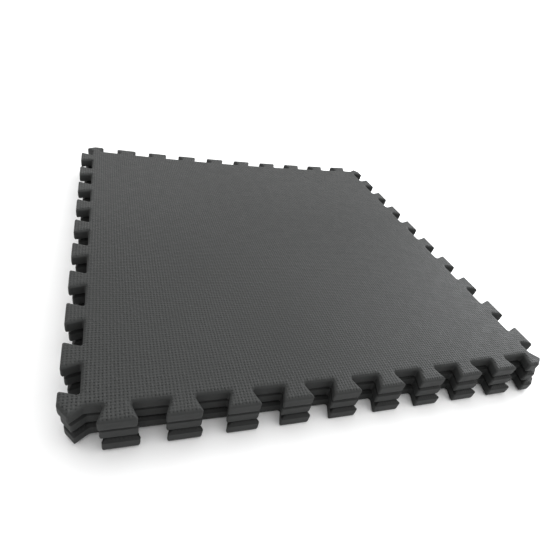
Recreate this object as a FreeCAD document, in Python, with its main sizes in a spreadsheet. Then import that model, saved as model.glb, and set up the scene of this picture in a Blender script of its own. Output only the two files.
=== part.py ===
"""A stack of three interlocking foam blocking mats.

Each mat is a square sheet of foam with dovetail teeth along all four edges. The origin is on the
floor under the centre of the stack, +Z up, +X to the right along the front edge, +Y to the back.
"""

import FreeCAD, Part
import os
import Sketcher

# Driving dimensions, in millimetres and degrees.
DIMENSIONS = [
    ("mat_size", 600.0),  # between the mid-lines of opposite toothed edges
    ("mat_thickness", 15.0),
    ("mat_gap", 0.5),  # air between one mat and the next
    ("tooth_pitch", 60.8),
    ("tooth_depth", 19.2),  # from the notch floor to the tooth's tip
    ("tip_width", 36.8),  # the wide outer end of a dovetail tooth
    ("neck_width", 23.4),  # its narrow inner end
    ("tooth_count", 9),  # whole teeth on an edge; the corner tooth is one more
    ("tooth_phase", 0.25),  # how many pitches the row of teeth stands off the edge's middle
    ("corner_run", 13.0),  # how far along the edge the slanted corner cut reaches
    ("cut_radius", 2.0),  # plan rounding of the teeth's tips and roots
    ("blend_radius", 5.0),  # plan rounding where a corner cut meets the straight edge
    ("point_radius", 1.5),  # plan rounding of the corner point, where four laid mats meet
    ("bottom_turn", -0.93),
    ("middle_turn", -0.6),
    ("middle_shift_x", -3.6),
    ("middle_shift_y", 3.2),
    ("top_shift_x", -8.3),
    ("top_shift_y", 3.2),
]

# The mats from the floor up: name, then plan shift in X and Y and turn about +Z.
MATS = [
    ("bottom_mat", "0", "0", "sheet.bottom_turn"),
    ("middle_mat", "sheet.middle_shift_x", "sheet.middle_shift_y", "sheet.middle_turn"),
    ("top_mat", "sheet.top_shift_x", "sheet.top_shift_y", "0"),
]

# Lengths that several sketches share, as expressions on the sheet.
HALF_DEPTH = "sheet.tooth_depth / 2"
INSIDE = "2 * sheet.tooth_depth"  # deep enough to reach into the core
FLARE = "2 * sheet.cut_radius"  # the foot that carries a tooth's rounded roots
FRONT_TIP_LINE = "-(sheet.mat_size + sheet.tooth_depth) / 2"
FIRST_TOOTH = "-(sheet.tooth_count / 2 - sheet.tooth_phase) * sheet.tooth_pitch"
CORNER = "-sheet.mat_size / 2"
# From the corner point to the middle of the corner tooth, along the edge.
CORNER_TOOTH = (
    "(sheet.mat_size / 2 - (sheet.tooth_count / 2 + sheet.tooth_phase) * sheet.tooth_pitch)"
)


def make_sheet(doc):
    """The spreadsheet of driving dimensions: a label, then a plain number with an alias."""
    sheet = doc.addObject("Spreadsheet::Sheet", "sheet")
    for row, (alias, value) in enumerate(DIMENSIONS, start=1):
        sheet.set(f"A{row}", alias.replace("_", " "))
        sheet.set(f"B{row}", str(value))
        sheet.setAlias(f"B{row}", alias)
    doc.recompute()
    return sheet


def origin_feature(body, role):
    """One of the body's own origin planes or axes."""
    return next(feature for feature in body.Origin.OriginFeatures if feature.Role == role)


def bind(sketch, constraint, expression):
    """Adds a dimension to the sketch and binds it to the sheet."""
    index = sketch.addConstraint(constraint)
    sketch.setExpression(f"Constraints[{index}]", expression)


def outline_sketch(body, name, origin, corners):
    """A closed outline on the body's floor plane, with every dimension bound to the sheet.

    origin is where the sketch's own origin stands on the mat. Each corner is (x, y, radius),
    measured from there, and its radius is None where the corner stays sharp. All are expressions.
    """
    sketch = body.newObject("Sketcher::SketchObject", name)
    sketch.AttachmentSupport = [(origin_feature(body, "XY_Plane"), "")]
    sketch.MapMode = "FlatFace"
    sketch.setExpression("AttachmentOffset.Base.x", origin[0])
    sketch.setExpression("AttachmentOffset.Base.y", origin[1])
    places = [
        FreeCAD.Vector(sketch.evalExpression(x), sketch.evalExpression(y), 0)
        for x, y, _ in corners
    ]
    for start, end in zip(places, places[1:] + places[:1]):
        sketch.addGeometry(Part.LineSegment(start, end))
    for side in range(len(corners)):
        following = (side + 1) % len(corners)
        sketch.addConstraint(Sketcher.Constraint("Coincident", side, 2, following, 1))
    for side, (place, (x, y, _)) in enumerate(zip(places, corners)):
        bind(sketch, Sketcher.Constraint("DistanceX", -1, 1, side, 1, place.x), x)
        bind(sketch, Sketcher.Constraint("DistanceY", -1, 1, side, 1, place.y), y)
    for side, (_, _, radius) in enumerate(corners):
        if radius is None:
            continue
        size = sketch.evalExpression(radius)
        arc = sketch.GeometryCount
        sketch.fillet(side, 1, size, True, True)  # trims the sides, keeps the corner's dimensions
        bind(sketch, Sketcher.Constraint("Radius", arc, size), radius)
    return sketch


def pad(body, name, sketch):
    """The sketch's outline, one mat thickness tall."""
    feature = body.newObject("PartDesign::Pad", name)
    feature.Profile = sketch
    feature.setExpression("Length", "sheet.mat_thickness")
    return feature


def make_core(body):
    """The plain square inside the teeth, out to the floors of the notches."""
    side = "(sheet.mat_size - sheet.tooth_depth)"
    corners = [
        ("0", "0", None),
        (side, "0", None),
        (side, side, None),
        ("0", side, None),
    ]
    start = f"{CORNER} + {HALF_DEPTH}"
    return pad(body, "core", outline_sketch(body, "core_outline", (start, start), corners))


def make_first_tooth(body):
    """The front edge's leftmost whole tooth: a dovetail whose foot reaches back into the core."""
    half_tip = "sheet.tip_width / 2"
    half_neck = "sheet.neck_width / 2"
    half_foot = f"({half_neck} + {FLARE})"
    rounding = "sheet.cut_radius"
    corners = [
        (f"-{half_tip}", "0", rounding),
        (half_tip, "0", rounding),
        (half_neck, "sheet.tooth_depth", rounding),
        (half_foot, "sheet.tooth_depth", None),
        (half_foot, INSIDE, None),
        (f"-{half_foot}", INSIDE, None),
        (f"-{half_foot}", "sheet.tooth_depth", None),
        (f"-{half_neck}", "sheet.tooth_depth", rounding),
    ]
    start = (FIRST_TOOTH, FRONT_TIP_LINE)
    return pad(body, "tooth", outline_sketch(body, "tooth_outline", start, corners))


def make_corner_tab(body):
    """The front left corner, from its corner point: two slanted cuts and the left edge's last tooth."""
    neck_end = f"({CORNER_TOOTH} + sheet.neck_width / 2)"
    tip_end = f"({CORNER_TOOTH} + sheet.tip_width / 2)"
    corners = [
        ("0", "0", "sheet.point_radius"),
        ("sheet.corner_run", HALF_DEPTH, "sheet.blend_radius"),
        (INSIDE, HALF_DEPTH, None),
        (INSIDE, f"{neck_end} + {FLARE}", None),
        (HALF_DEPTH, f"{neck_end} + {FLARE}", None),
        (HALF_DEPTH, neck_end, "sheet.cut_radius"),
        (f"-{HALF_DEPTH}", tip_end, "sheet.cut_radius"),
        (f"-{HALF_DEPTH}", "sheet.corner_run", "sheet.blend_radius"),
    ]
    return pad(body, "corner_tab", outline_sketch(body, "corner_outline", (CORNER, CORNER), corners))


def quarter_turns(body, name):
    """A polar pattern that repeats a feature on each of the mat's four edges."""
    pattern = body.newObject("PartDesign::PolarPattern", name)
    pattern.Axis = (origin_feature(body, "Z_Axis"), [""])
    pattern.Angle = 360
    pattern.Occurrences = 4
    return pattern


def repeat_corners(body, tab):
    """The corner tab on all four corners."""
    pattern = quarter_turns(body, "corners")
    pattern.Originals = [tab]
    body.Tip = pattern


def repeat_teeth(body, tooth):
    """The first tooth repeated along the front edge, and that row on all four edges."""
    row = body.newObject("PartDesign::LinearPattern", "row_of_teeth")
    row.Direction = (origin_feature(body, "X_Axis"), [""])
    row.setExpression("Length", "(sheet.tooth_count - 1) * sheet.tooth_pitch")
    row.setExpression("Occurrences", "sheet.tooth_count")
    pattern = body.newObject("PartDesign::MultiTransform", "teeth")
    pattern.Originals = [tooth]
    pattern.Transformations = [row, quarter_turns(body, "rows_on_four_edges")]
    body.Tip = pattern


def make_mat(doc, level, label, shift_x, shift_y, turn):
    """One mat, lying level mats above the floor."""
    body = doc.addObject("PartDesign::Body", label)
    body.Label = label
    make_core(body)
    repeat_corners(body, make_corner_tab(body))
    repeat_teeth(body, make_first_tooth(body))
    body.Placement.Rotation = FreeCAD.Rotation(FreeCAD.Vector(0, 0, 1), 1)  # sets the axis only
    body.setExpression("Placement.Rotation.Angle", turn)
    body.setExpression("Placement.Base.x", shift_x)
    body.setExpression("Placement.Base.y", shift_y)
    body.setExpression("Placement.Base.z", f"{level} * (sheet.mat_thickness + sheet.mat_gap)")
    doc.recompute()
    return body


def check(doc, bodies, sheet):
    """Stops if any object failed, or a mat isn't one sound solid of about the right volume."""
    for thing in doc.Objects:
        if "Invalid" in thing.State or "Error" in thing.State:
            raise RuntimeError(f"{thing.Name} failed: {thing.State}")
    # What a tooth adds outside the mid-line, its notch takes away inside it.
    expected = sheet.mat_size**2 * sheet.mat_thickness
    for body in bodies:
        shape = body.Shape
        if shape.isNull() or not shape.isValid() or len(shape.Solids) != 1:
            raise RuntimeError(f"{body.Label} isn't one valid solid")
        if abs(shape.Volume / expected - 1) > 0.01:
            raise RuntimeError(f"{body.Label} holds {shape.Volume:.0f} mm3, not {expected:.0f}")
        print(f"{body.Label}: {shape.Volume:.0f} mm3, {shape.BoundBox}")


def main():
    doc = FreeCAD.newDocument("blocking_mats")
    sheet = make_sheet(doc)
    bodies = [make_mat(doc, level, *mat) for level, mat in enumerate(MATS)]
    check(doc, bodies, sheet)
    os.makedirs("parts", exist_ok=True)
    for body in bodies:
        body.Shape.exportStep(f"parts/{body.Label}.step")


main()
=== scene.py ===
"""Looks for the stack of interlocking foam mats: one detailed foam mesh per mat, in metres."""
import math

import bpy
import numpy as np
from mathutils import Matrix, Vector, geometry, noise


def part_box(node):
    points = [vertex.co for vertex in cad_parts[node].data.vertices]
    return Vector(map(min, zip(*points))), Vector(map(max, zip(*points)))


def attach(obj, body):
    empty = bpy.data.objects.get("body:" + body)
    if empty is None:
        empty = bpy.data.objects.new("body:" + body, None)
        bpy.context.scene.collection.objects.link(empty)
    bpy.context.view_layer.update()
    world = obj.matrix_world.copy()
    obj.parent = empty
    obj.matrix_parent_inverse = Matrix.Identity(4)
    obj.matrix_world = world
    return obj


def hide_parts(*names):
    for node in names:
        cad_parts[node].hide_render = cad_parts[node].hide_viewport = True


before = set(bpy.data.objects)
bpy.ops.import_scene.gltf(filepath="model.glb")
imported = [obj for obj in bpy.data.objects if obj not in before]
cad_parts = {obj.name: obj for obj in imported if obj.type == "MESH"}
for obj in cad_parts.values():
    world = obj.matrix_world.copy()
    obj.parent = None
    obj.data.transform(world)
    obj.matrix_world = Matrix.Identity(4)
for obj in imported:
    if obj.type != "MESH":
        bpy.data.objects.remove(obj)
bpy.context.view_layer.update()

# ---------------------------------------------------------------- plan of a mat, in metres
SIZE = 0.600           # between the mid-lines of opposite edges
PITCH = 0.0608         # from one tooth to the next
HALF_DEPTH = 0.0096    # from the mid-line out to the tips and in to the notch floors
TIP = 0.0368           # width of a tooth at its tip
NECK = 0.0234          # width of a tooth at its neck
CUT = 0.002            # rounding of the teeth's plan corners
BLEND = 0.005          # rounding where a corner's slanted cuts meet the straight lines
POINT = 0.0015         # rounding of the mat's corner points
RUN = 0.013            # length of a corner's slanted cut along the edge
TEETH = 9              # whole teeth on an edge, beside the one that shares its corner
FIRST = -4.25          # place of the first tooth, in pitches from the edge's middle

ARC_STEP = 15          # degrees of a rounded corner to a step, at most
SIDE_STEP = 0.0062     # about the distance between points on a straight side
SHARPEST = 0.0002      # least rounding of a corner of a ring that is moved inwards
QUARTERS = ((1, 0), (0, 1), (-1, 0), (0, -1))   # cosine and sine of each quarter turn

MATS = [
    # body, node, turn in degrees, curl at the sides, twist at the corners,
    # 1 where another mat lies on top, seed of the slow waves
    ("bottom", "bottom_mat", -0.93, 0.0028, 0.0003, 1.0, 11),
    ("middle", "middle_mat", -0.6, 0.0042, 0.0010, 1.0, 23),
    ("top", "top_mat", 0.0, 0.0063, 0.0018, 0.0, 5),
]


def edge_corners():
    """The front edge from its left corner point on: (x, y, rounding) of each plan corner."""
    half = SIZE / 2
    tip, floor = -half - HALF_DEPTH, -half + HALF_DEPTH
    corners = [(-half, -half, POINT), (-half + RUN, floor, BLEND)]
    for k in range(TEETH):
        x = (FIRST + k) * PITCH
        corners += [
            (x - NECK / 2, floor, CUT),
            (x - TIP / 2, tip, CUT),
            (x + TIP / 2, tip, CUT),
            (x + NECK / 2, floor, CUT),
        ]
    x = (FIRST + TEETH) * PITCH
    corners += [(x - NECK / 2, floor, CUT), (x - TIP / 2, tip, CUT), (half - RUN, tip, BLEND)]
    return corners


def outline_corners():
    """All four edges, each the one before turned by 90 degrees."""
    corners = []
    for c, s in QUARTERS:
        corners += [(x * c - y * s, x * s + y * c, r) for x, y, r in edge_corners()]
    return corners


CORNERS = outline_corners()
PLACES = np.array([(x, y) for x, y, _ in CORNERS])
RADII = np.array([r for _, _, r in CORNERS])
AHEAD = np.roll(PLACES, -1, axis=0) - PLACES
LENGTHS = np.linalg.norm(AHEAD, axis=1)
AHEAD /= LENGTHS[:, None]
BEHIND = np.roll(AHEAD, 1, axis=0)
TURNS = np.arctan2(
    BEHIND[:, 0] * AHEAD[:, 1] - BEHIND[:, 1] * AHEAD[:, 0], (BEHIND * AHEAD).sum(axis=1)
)
ARC_STEPS = np.maximum(3, np.ceil(np.abs(np.degrees(TURNS)) / ARC_STEP).astype(int))
SIDE_STEPS = np.maximum(2, np.round(LENGTHS / SIDE_STEP).astype(int))


def ring(inset):
    """The outline moved inwards by inset, always with the same number of points."""
    left = np.stack([-AHEAD[:, 1], AHEAD[:, 0]], axis=1)
    left_behind = np.roll(left, 1, axis=0)
    # the offset corner lies on the bisector of the two moved sides
    bisector = (left + left_behind) / (1 + (left * left_behind).sum(axis=1))[:, None]
    corner = PLACES + inset * bisector
    radius = np.maximum(RADII - inset * np.sign(TURNS), SHARPEST)
    cut = radius * np.tan(np.abs(TURNS) / 2)
    start, end = corner - BEHIND * cut[:, None], corner + AHEAD * cut[:, None]
    centre = start + left_behind * (np.sign(TURNS) * radius)[:, None]
    points = []
    for i in range(len(corner)):
        spoke = start[i] - centre[i]
        for step in range(ARC_STEPS[i] + 1):
            a = TURNS[i] * step / ARC_STEPS[i]
            points.append(
                centre[i]
                + (
                    spoke[0] * math.cos(a) - spoke[1] * math.sin(a),
                    spoke[0] * math.sin(a) + spoke[1] * math.cos(a),
                )
            )
        following = start[(i + 1) % len(corner)]
        for step in range(1, SIDE_STEPS[i]):
            points.append(end[i] + (following - end[i]) * step / SIDE_STEPS[i])
    return np.array(points)


# ---------------------------------------------------------------- mat meshes
ROLL_HIGH = 0.0027     # drop of the pinched upper edge at the cut face
ROLL_WIDE = 0.0050     # how far in the upper face starts to drop
INNER = 0.0062         # inset of the last ring, inside which the face is level
GRID = 0.0095          # spacing of the level face's points
GRID_MARGIN = 0.004    # how far the grid stays inside the last ring at the notch floors
IN_TOOTH = 0.0055      # a tooth's middle has two points: on the mid-line, and this far in
SAME_PLACE = 1e-7      # points nearer than this are one point to the triangulation
LIP = 0.0001           # the upper face is taken to start this far below the top of the cut face

WAVE_RATE = 7.0        # slow waves to a metre, in the noise's own units
WAVE_HIGH = 0.0002     # half the greatest height of the slow waves
SEED_STEP = 0.37       # how far apart the mats' seeds lie in the noise


def profile(thickness):
    """(inset, height) of each ring, from the underside round the cut face to the upper face."""
    rings = [(INNER, 0.0), (0.0030, 0.0), (0.0016, 0.0002), (0.0009, 0.0007), (0.0005, 0.0015)]
    rings += [(0.0002, 0.0028), (0.00005, 0.0044), (0.0, 0.0062)]
    rings += [(0.0, thickness - ROLL_HIGH - h) for h in (0.0022, 0.0008, 0.0003)]
    rings.append((0.00012, thickness - ROLL_HIGH))
    for inset in (0.00035, 0.0007, 0.0012, 0.0018, 0.0025, 0.0033, 0.0042, ROLL_WIDE):
        rings.append((inset, thickness - ROLL_HIGH * (1 - inset / ROLL_WIDE) ** 2))
    rings.append((INNER, thickness))
    return rings


def level_face(boundary):
    """Points and triangles that fill the last ring: a regular grid joined to the ring."""
    count = len(boundary)
    reach = SIZE / 2 - HALF_DEPTH - INNER - GRID_MARGIN
    lines = np.linspace(-reach, reach, int(2 * reach / GRID) + 1)
    grid = [(x, y) for x in lines for y in lines]
    inside_teeth = []
    for c, s in QUARTERS:
        for k in range(TEETH + 1):
            x = (FIRST + k) * PITCH
            for y in (-SIZE / 2 + IN_TOOTH, -SIZE / 2):
                inside_teeth.append((x * c - y * s, x * s + y * c))
    points = [Vector(p) for p in [*boundary.tolist(), *grid, *inside_teeth]]
    border = [(i, (i + 1) % count) for i in range(count)]
    verts, _, faces, origin, _, _ = geometry.delaunay_2d_cdt(
        points, border, [], 1, SAME_PLACE
    )
    if [o[0] for o in origin[:count]] != list(range(count)):
        raise RuntimeError("the level face's ring came back in another order")
    return np.array([v[:] for v in verts]), faces


def rise(x, y, curl, twist, seed):
    """How far the foam stands off its flat shape: curled sides, a twist and slow waves."""
    u, v = x / (SIZE / 2), y / (SIZE / 2)
    waves = noise.noise(Vector((x * WAVE_RATE, y * WAVE_RATE, SEED_STEP * seed)))
    return curl * u * u + twist * u * v + WAVE_HIGH * (1 + waves) * min(1.0, u * u + v * v)


def make_mat(node, turn, curl, twist, covered, seed):
    """One mat's mesh, with how far in each point of the upper face lies and if it is covered."""
    low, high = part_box(node)
    thickness = high[2] - low[2]
    rings = [(ring(inset), inset, z) for inset, z in profile(thickness)]
    count = len(rings[0][0])
    face_points, face_tris = level_face(rings[-1][0])
    inner = len(face_points) - count    # points of a level face that aren't on its ring
    places, insets, covers = [], [], []
    for points, inset, z in rings:
        places += [(x, y, z) for x, y in points]
        insets += [inset if z > thickness / 2 else 0.0] * count
        covers += [covered if z > thickness - ROLL_HIGH - LIP else 0.0] * count
    faces = []
    for level in range(len(rings) - 1):
        for i in range(count):
            j = (i + 1) % count
            a, b = level * count, (level + 1) * count
            faces.append((a + i, a + j, b + j, b + i))
    last = (len(rings) - 1) * count
    upper = [*range(last, last + count), *range(len(places), len(places) + inner)]
    places += [(x, y, thickness) for x, y in face_points[count:]]
    lower = [*range(count), *range(len(places), len(places) + inner)]
    places += [(x, y, 0.0) for x, y in face_points[count:]]
    faces += [tuple(upper[k] for k in tri) for tri in face_tris]
    faces += [tuple(lower[k] for k in reversed(tri)) for tri in face_tris]
    insets += [INNER] * inner + [0.0] * inner
    covers += [covered] * inner + [0.0] * inner
    places = [(x, y, z + rise(x, y, curl, twist, seed)) for x, y, z in places]
    mesh = bpy.data.meshes.new(node + "_foam")
    mesh.from_pydata(places, [], faces)
    mesh.validate()
    mesh.shade_smooth()
    for name, values in (("inset", insets), ("covered", covers)):
        mesh.attributes.new(name, "FLOAT", "POINT").data.foreach_set("value", values)
    piece = bpy.data.objects.new(node + "_foam", mesh)
    bpy.context.scene.collection.objects.link(piece)
    centre = ((low[0] + high[0]) / 2, (low[1] + high[1]) / 2, low[2])
    piece.matrix_world = Matrix.Translation(centre) @ Matrix.Rotation(math.radians(turn), 4, "Z")
    return piece


# ---------------------------------------------------------------- foam material
class Nodes:
    """Short calls for building a shader tree."""

    def __init__(self, tree):
        self.tree = tree

    def add(self, kind, **settings):
        node = self.tree.nodes.new(kind)
        for name, value in settings.items():
            setattr(node, name, value)
        return node

    def put(self, socket, value):
        if isinstance(value, bpy.types.NodeSocket):
            self.tree.links.new(value, socket)
        else:
            socket.default_value = value

    def math(self, operation, *values):
        node = self.add("ShaderNodeMath", operation=operation)
        for socket, value in zip(node.inputs, values):
            self.put(socket, value)
        return node.outputs[0]

    def spread(self, value, low, high, to_low=0.0, to_high=1.0):
        """A smooth step from to_low at low to to_high at high."""
        node = self.add("ShaderNodeMapRange", interpolation_type="SMOOTHSTEP")
        for socket, v in zip(node.inputs, (value, low, high, to_low, to_high)):
            self.put(socket, v)
        return node.outputs[0]

    def noise(self, place, scale, detail=2.0, roughness=0.5):
        node = self.add("ShaderNodeTexNoise")
        self.put(node.inputs["Vector"], place)
        node.inputs["Scale"].default_value = scale
        node.inputs["Detail"].default_value = detail
        node.inputs["Roughness"].default_value = roughness
        return node.outputs[0]

    def mix(self, share, first, second):
        node = self.add("ShaderNodeMix", data_type="RGBA")
        # a mix node has sockets for each kind of data: these are the ones for colour
        self.put(node.inputs[0], share)
        self.put(node.inputs[6], first)
        self.put(node.inputs[7], second)
        return node.outputs[2]

    def bump(self, height, distance, strength, normal=None):
        node = self.add("ShaderNodeBump")
        node.inputs["Strength"].default_value = strength
        node.inputs["Distance"].default_value = distance
        self.put(node.inputs["Height"], height)
        if normal is not None:
            self.put(node.inputs["Normal"], normal)
        return node.outputs[0]


WARP_SPACING = 0.00364   # yarns that run front to back
WEFT_SPACING = 0.00343   # yarns that run left to right
WANDER_SCALE = 45.0      # slow wander of the yarns, to a metre
WANDER = 0.0018          # twice the furthest that it moves them, in metres
WARP_LEVEL = 0.66        # height of the warp's crowns, in parts of the print's depth
WEFT_LEVEL = 0.58        # height of the weft's
TAKING_TURNS = 0.22      # how much each rises and falls as they take turns on top
YARN_CROWN = 0.9         # power of the cosine across a yarn: below 1, the yarn is fuller
WEAVE_DEPTH = 0.0012     # bump distance of the print
GRAIN_DEPTH = 0.00012    # bump distance of the foam's fine cells
CELL_SCALE = 1100.0      # cells and grain, to a metre
GRAIN_SCALE = 1500.0

PRINT_STARTS = 0.0001    # the print fades in over the rolled edge, between these insets
PRINT_FULL = 0.0030
RIM_FULL = 0.0040        # a covered rim's painted shade fades out between these insets
RIM_ENDS = 0.0062
RIM_PAINTED_SHADE = 0.52         # share of the dark colour, as painted shade, in a covered rim
RIM_FLATTER = 0.5        # share of the print's depth that a covered rim loses

CHARCOAL = (0.0290, 0.0302, 0.0296, 1)
CHARCOAL_LIGHT = (0.0370, 0.0383, 0.0376, 1)
CHARCOAL_CROWN = (0.064, 0.0662, 0.0652, 1)    # on the yarns' crowns
CHARCOAL_PAINTED_SHADE = (0.002, 0.0021, 0.0021, 1)    # painted shade in the pits between yarns and on covered rims
CHARCOAL_CUT = (0.027, 0.0280, 0.0275, 1)     # on the cut faces and undersides
FOAM_SPECULAR = 0.19     # less than plain plastic's 0.5, tuned to the photo's grey tones


def moved_place(n, place):
    """The place with a slow wander, so that no line of the weave is ruler-straight."""
    wander = n.add("ShaderNodeTexNoise", noise_dimensions="3D")
    n.put(wander.inputs["Vector"], place)
    wander.inputs["Scale"].default_value = WANDER_SCALE
    wander.inputs["Detail"].default_value = 3.0
    shift = n.add("ShaderNodeVectorMath", operation="SUBTRACT")
    n.put(shift.inputs[0], wander.outputs["Color"])
    shift.inputs[1].default_value = (0.5, 0.5, 0.5)
    small = n.add("ShaderNodeVectorMath", operation="SCALE")
    n.put(small.inputs[0], shift.outputs[0])
    small.inputs["Scale"].default_value = WANDER
    moved = n.add("ShaderNodeVectorMath", operation="ADD")
    n.put(moved.inputs[0], place)
    n.put(moved.inputs[1], small.outputs[0])
    return moved.outputs[0]


def plain_weave(n, place):
    """Height of the printed weave, 0 to about 0.9: warp and weft take turns on top."""
    split = n.add("ShaderNodeSeparateXYZ")
    n.put(split.inputs[0], moved_place(n, place))
    warp = n.math("COSINE", n.math("MULTIPLY", split.outputs[0], math.pi / WARP_SPACING))
    weft = n.math("COSINE", n.math("MULTIPLY", split.outputs[1], math.pi / WEFT_SPACING))
    turns = n.math("MULTIPLY", warp, weft)
    over = n.math("MULTIPLY_ADD", turns, TAKING_TURNS, WARP_LEVEL)
    under = n.math("MULTIPLY_ADD", turns, -TAKING_TURNS, WEFT_LEVEL)
    warp_crown = n.math("POWER", n.math("ABSOLUTE", warp), YARN_CROWN)
    weft_crown = n.math("POWER", n.math("ABSOLUTE", weft), YARN_CROWN)
    warp_high = n.math("MULTIPLY", warp_crown, over)
    weft_high = n.math("MULTIPLY", weft_crown, under)
    return n.math("MAXIMUM", warp_high, weft_high)


def foam_material():
    material = bpy.data.materials.new("charcoal_eva_foam")
    material.use_nodes = True
    tree = material.node_tree
    tree.nodes.clear()
    n = Nodes(tree)
    shader = n.add("ShaderNodeBsdfPrincipled")
    out = n.add("ShaderNodeOutputMaterial")
    tree.links.new(shader.outputs[0], out.inputs[0])
    place = n.add("ShaderNodeTexCoord").outputs["Object"]
    weave = plain_weave(n, place)

    # only the upper face is embossed, and the print fades over the rolled edge
    inset = n.add("ShaderNodeAttribute", attribute_name="inset").outputs["Fac"]
    face = n.spread(inset, PRINT_STARTS, PRINT_FULL)
    patchy = n.spread(n.noise(place, 9.0, 2.0), 0.30, 0.70, 0.72, 1.0)
    uneven = n.spread(n.noise(place, 190.0, 1.0), 0.32, 0.68, 0.55, 1.0)
    # a strip of the lower mats' upper faces shows in the photo and is dark there, so their rims
    # are darkened and printed at half depth; this stands for shade, and isn't known of the foam
    covered = n.add("ShaderNodeAttribute", attribute_name="covered").outputs["Fac"]
    rim = n.spread(inset, RIM_FULL, RIM_ENDS, 1.0, 0.0)
    painted_rim_shade = n.math("MULTIPLY", covered, rim)
    pressed = n.math("MULTIPLY_ADD", painted_rim_shade, -RIM_FLATTER, 1.0)
    print_depth = n.math(
        "MULTIPLY", n.math("MULTIPLY", face, patchy), n.math("MULTIPLY", uneven, pressed)
    )

    # colour: clouds of two greys, lighter yarn crowns, painted shade in the pits, plain cut
    # faces, painted shade on covered rims
    slow = n.noise(place, 4.5, 3.0, 0.55)
    cloud = n.noise(place, 60.0, 4.0, 0.6)
    pits = n.math("MULTIPLY", n.spread(weave, 0.14, 0.56, 1.0, 0.0), print_depth)
    crowns = n.math("MULTIPLY", n.spread(weave, 0.55, 0.95), print_depth)
    tint = n.math("ADD", n.math("MULTIPLY", slow, 0.55), n.math("MULTIPLY", cloud, 0.45))
    colour = n.mix(n.spread(tint, 0.34, 0.66), CHARCOAL, CHARCOAL_LIGHT)
    # the yarns' crowns are made lighter
    colour = n.mix(n.math("MULTIPLY", crowns, 0.45), colour, CHARCOAL_CROWN)
    # the pits between yarns are darkened with painted shade
    colour = n.mix(pits, colour, CHARCOAL_PAINTED_SHADE)
    colour = n.mix(face, CHARCOAL_CUT, colour)
    # painted shade on the covered rims of the lower mats
    colour = n.mix(n.math("MULTIPLY", painted_rim_shade, RIM_PAINTED_SHADE), colour, CHARCOAL_PAINTED_SHADE)
    n.put(shader.inputs["Base Color"], colour)

    # gloss: rougher in the pits and on the cut faces
    rough = n.spread(cloud, 0.3, 0.7, 0.52, 0.62)
    rough = n.math("ADD", rough, n.math("MULTIPLY", pits, 0.18))
    rough = n.math("ADD", rough, n.spread(face, 0.0, 1.0, 0.10, 0.0))
    n.put(shader.inputs["Roughness"], rough)
    shader.inputs["Specular IOR Level"].default_value = FOAM_SPECULAR

    # relief: the foam's fine cells, then the print on top
    grain = n.noise(place, GRAIN_SCALE, 2.0, 0.6)
    cells = n.add("ShaderNodeTexVoronoi", feature="F1")
    n.put(cells.inputs["Vector"], place)
    cells.inputs["Scale"].default_value = CELL_SCALE
    fine = n.math("MULTIPLY_ADD", cells.outputs["Distance"], 0.6, grain)
    normal = n.bump(fine, GRAIN_DEPTH, 0.5)
    embossed = n.math("MULTIPLY", weave, print_depth)
    normal = n.bump(embossed, WEAVE_DEPTH, 1.0, normal)
    n.put(shader.inputs["Normal"], normal)
    return material


foam = foam_material()
for mat in MATS:
    body, node = mat[:2]
    piece = make_mat(*mat[1:])
    piece.data.materials.append(foam)
    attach(piece, body)
    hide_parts(node)


# ---------------------------------------------------------------- floor, light and camera
FLOOR_HALF = 30          # half the floor's side, in metres
FLOOR_DIM = (0.90, 0.90, 0.90, 1)
FLOOR_PALE = (0.93, 0.93, 0.93, 1)

SKY_BRIGHT = (0.60, 0.75, 0.25)   # the way to the sky's brighter part, at the back right
SKY_FALL = (-0.7, 0.5)            # how much a direction points there: darkest, brightest
SKY_STRENGTH = (0.86, 1.45)       # the sky's strength at each

SIDE_LIGHT_PLACE = (0.95, 0.12, 0.46)
SIDE_LIGHT_AIM = (0.2, 0.0, 0.04)
SIDE_LIGHT_SIZE = 0.55
SIDE_LIGHT_POWER = 6.8
SIDE_LIGHT_COLOUR = (0.95, 0.975, 1.0)

OVERHEAD_POWER = 0.65
OVERHEAD_WIDTH = 120              # degrees across, so that its shadows are soft
OVERHEAD_FROM = (0.45, 0.60, 1.0)

# the camera is fitted to the teeth and the outline in the photograph, as a pinhole
CAMERA_PLACE = (-0.27198, -0.5327, 0.39826)
CAMERA_TURNS = (26.407, -35.119, 15.174)   # azimuth from +Y, elevation and roll, in degrees
FOCAL_PIXELS = 411.4
IMAGE_PIXELS = 540
SENSOR = 36.0                              # width in millimetres


def floor_material():
    material = bpy.data.materials.new("pale_floor")
    material.use_nodes = True
    tree = material.node_tree
    shader = tree.nodes["Principled BSDF"]
    n = Nodes(tree)
    place = n.add("ShaderNodeTexCoord").outputs["Object"]
    colour = n.mix(n.spread(n.noise(place, 2.0, 3.0), 0.3, 0.7), FLOOR_DIM, FLOOR_PALE)
    n.put(shader.inputs["Base Color"], colour)
    shader.inputs["Roughness"].default_value = 0.9
    shader.inputs["Specular IOR Level"].default_value = 0.1
    return material


floor_mesh = bpy.data.meshes.new("studio_floor")
floor_corners = [
    (x * FLOOR_HALF, y * FLOOR_HALF, 0) for x, y in ((-1, -1), (1, -1), (1, 1), (-1, 1))
]
floor_mesh.from_pydata(floor_corners, [], [(0, 1, 2, 3)])
floor = bpy.data.objects.new("studio_floor", floor_mesh)
floor_mesh.materials.append(floor_material())
bpy.context.scene.collection.objects.link(floor)

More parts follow.
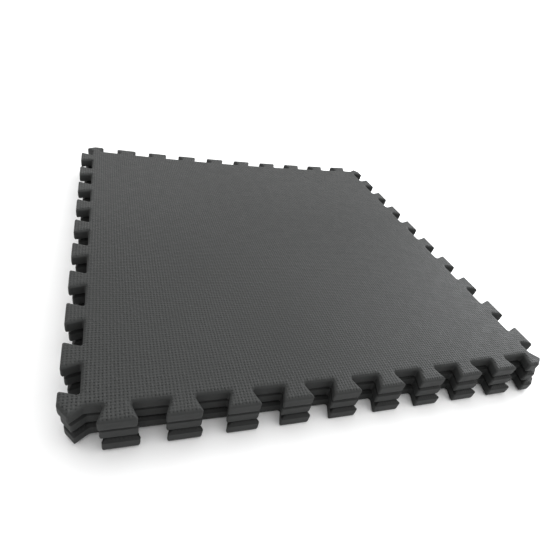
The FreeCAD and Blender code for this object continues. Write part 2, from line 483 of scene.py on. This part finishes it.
world = bpy.data.worlds.new("studio")
world.use_nodes = True
sky = Nodes(world.node_tree)
toward = sky.add("ShaderNodeVectorMath", operation="DOT_PRODUCT")
sky.put(toward.inputs[0], sky.add("ShaderNodeTexCoord").outputs["Generated"])
toward.inputs[1].default_value = SKY_BRIGHT
background = world.node_tree.nodes["Background"]
background.inputs["Color"].default_value = (1, 1, 1, 1)
strength = sky.spread(toward.outputs["Value"], *SKY_FALL, *SKY_STRENGTH)
sky.put(background.inputs["Strength"], strength)
bpy.context.scene.world = world

side_light = bpy.data.lights.new("soft_right", "AREA")
side_light.color = SIDE_LIGHT_COLOUR
side_light.shape = "SQUARE"
side_light.size = SIDE_LIGHT_SIZE
side_light.energy = SIDE_LIGHT_POWER
side_lamp = bpy.data.objects.new("soft_right", side_light)
side_lamp.location = SIDE_LIGHT_PLACE
side_lamp_way = Vector(SIDE_LIGHT_AIM) - Vector(SIDE_LIGHT_PLACE)
side_lamp.rotation_euler = side_lamp_way.to_track_quat("-Z", "Y").to_euler()
bpy.context.scene.collection.objects.link(side_lamp)

overhead = bpy.data.lights.new("overhead", "SUN")
overhead.energy = OVERHEAD_POWER
overhead.angle = math.radians(OVERHEAD_WIDTH)
overhead_sun = bpy.data.objects.new("overhead", overhead)
overhead_sun.rotation_euler = Vector(OVERHEAD_FROM).to_track_quat("Z", "Y").to_euler()
bpy.context.scene.collection.objects.link(overhead_sun)

AZIMUTH, ELEVATION, ROLL = (math.radians(a) for a in CAMERA_TURNS)
camera = bpy.data.objects.new("camera", bpy.data.cameras.new("camera"))
camera.data.sensor_width = SENSOR
camera.data.lens = SENSOR * FOCAL_PIXELS / IMAGE_PIXELS
camera.data.clip_start = 0.01
forward = Vector((
    math.sin(AZIMUTH) * math.cos(ELEVATION),
    math.cos(AZIMUTH) * math.cos(ELEVATION),
    math.sin(ELEVATION),
))
level = forward.cross(Vector((0, 0, 1))).normalized()
upright = level.cross(forward)
right = level * math.cos(ROLL) + upright * math.sin(ROLL)
up = upright * math.cos(ROLL) - level * math.sin(ROLL)
turned = Matrix((right, up, -forward)).transposed().to_4x4()
camera.matrix_world = Matrix.Translation(CAMERA_PLACE) @ turned
bpy.context.scene.collection.objects.link(camera)
bpy.context.scene.camera = camera
bpy.context.scene.view_settings.view_transform = "Standard"
